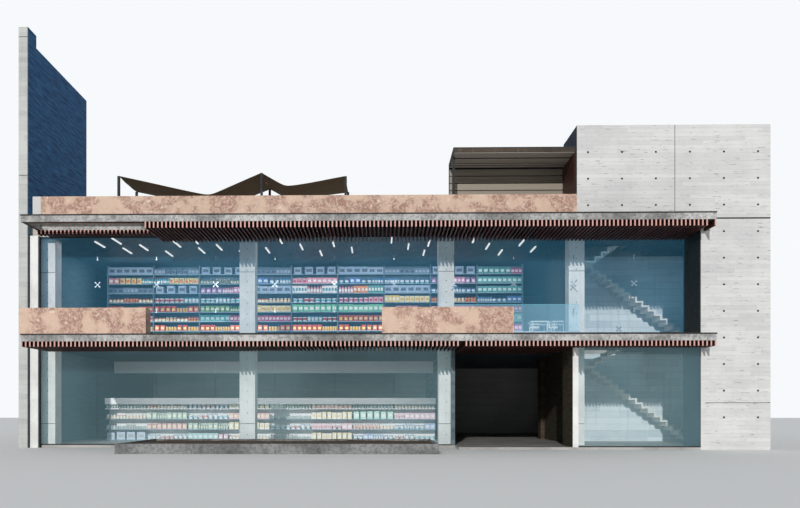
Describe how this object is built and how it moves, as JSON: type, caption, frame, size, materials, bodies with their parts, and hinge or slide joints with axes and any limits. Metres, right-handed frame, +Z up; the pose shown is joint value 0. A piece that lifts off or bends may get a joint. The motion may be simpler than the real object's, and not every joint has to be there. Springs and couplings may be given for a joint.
{
  "type": "supermarket building",
  "caption": "Two-storey concrete supermarket with a glass front, slatted canopies with planters, an open garage, a folded-plate stair, a corner tower and a roof terrace.",
  "frame": {"origin": "middle of the plan on the ground", "axes": "+X along the street to the tower, -Y towards the street, +Z up"},
  "size_m": [29.92, 22.75, 17.24],
  "materials": {
    "board_concrete": "matt, board-marked",
    "pale_concrete": "matt, smooth",
    "canopy_concrete": "matt, weathered",
    "concrete_floor": "matt, trowelled",
    "stair_concrete": "matt, smooth",
    "dark_concrete": "matt, cast",
    "mottled_stone": "honed, blotched",
    "dark_metal": "satin",
    "white_metal": "satin",
    "shelf_metal": "satin",
    "steel": "brushed",
    "red_timber": "oiled",
    "brown_boards": "oiled",
    "grey_boards": "weathered",
    "blue_glass": "clear, tinted",
    "clear_glass": "clear",
    "canvas": "woven",
    "white_paint": "matt paint",
    "light_cover": "opal"
  },
  "bodies": {
    "root": {"ground_slab": "concrete_floor", "first_floor_slab": "concrete_floor", "roof_slab": "concrete_floor", "tall_left_wall": "board_concrete", "left_pier": "pale_concrete", "dark_metal_trim": "dark_metal", "right_wall": "board_concrete", "rear_wall": "board_concrete", "rear_windows": "clear_glass", "tower_front_wall": "board_concrete", "tower_side_walls": "board_concrete", "tower_roof": "board_concrete", "upper_canopy": "canopy_concrete", "upper_canopy_cap": "dark_metal", "upper_slats": "red_timber", "slot_slats": "red_timber", "lower_canopy": "canopy_concrete", "lower_canopy_cap": "dark_metal", "lower_slats": "red_timber", "garage_slats": "red_timber", "ground_columns": "pale_concrete", "upper_columns": "pale_concrete", "shop_glass": "blue_glass", "lobby_glass": "blue_glass", "upper_glass": "blue_glass", "glass_fittings": "steel", "glass_guard": "clear_glass", "roof_planter": "mottled_stone", "canopy_planters": "mottled_stone", "ground_planter": "dark_concrete", "garage_left_wall": "board_concrete", "garage_front_pier": "pale_concrete", "stair_side_wall": "pale_concrete", "stair_back_wall": "board_concrete", "ground_stairs": "stair_concrete", "upper_stairs": "stair_concrete", "pavilion_roof": "grey_boards", "pavilion_walls": "brown_boards", "shade_sails": "canvas", "roof_posts": "dark_metal", "tall_shelving": "shelf_metal", "low_shelving": "white_metal", "shop_bulkhead": "white_paint", "tables_and_chairs": "white_metal", "ceiling_lights": "light_cover"}
  },
  "joints": []
}
